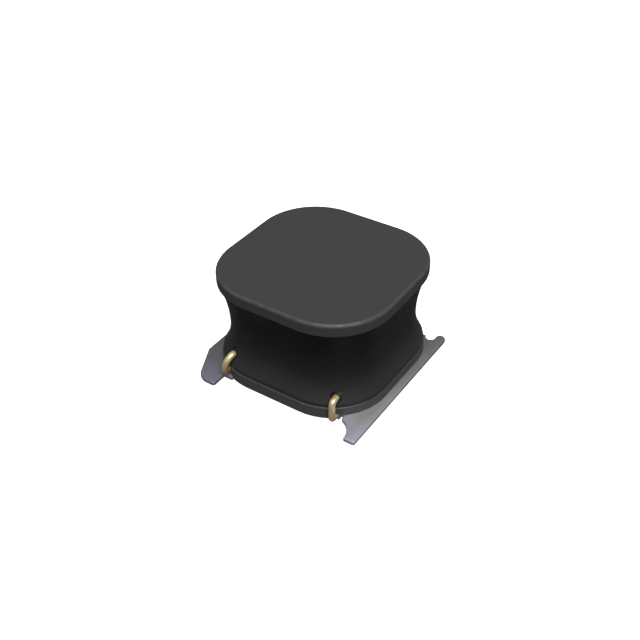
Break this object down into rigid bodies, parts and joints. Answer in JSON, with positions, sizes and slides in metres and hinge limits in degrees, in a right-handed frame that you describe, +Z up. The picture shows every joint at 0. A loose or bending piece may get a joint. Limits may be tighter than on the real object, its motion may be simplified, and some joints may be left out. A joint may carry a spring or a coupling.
{
  "type": "shielded surface-mount power inductor",
  "caption": "Low square drum-core inductor: wound ferrite core, hollow-sided magnetic resin between rounded flanges, flat terminals under two sides.",
  "frame": {"origin": "on the core's axis, at the level of the terminals' undersides, where the part rests on its board", "axes": "+Z up, away from the board; the terminals lie along Y at -X and +X, and the winding's leads leave towards -Y"},
  "size_m": [0.01, 0.0101, 0.0058],
  "materials": {
    "ferrite": "satin, fired ferrite",
    "enamelled_wire": "glossy clear enamel over copper",
    "magnetic_resin": "smooth cast resin",
    "tinned_metal": "matt tin plating",
    "adhesive": "cured adhesive",
    "solder": "satin solder"
  },
  "bodies": {
    "root": {"drum_core": "ferrite", "winding": "enamelled_wire", "magnetic_resin": "magnetic_resin", "terminal_left": "tinned_metal", "terminal_right": "tinned_metal", "adhesive_left": "adhesive", "adhesive_right": "adhesive", "solder_left": "solder", "solder_right": "solder"}
  },
  "joints": []
}
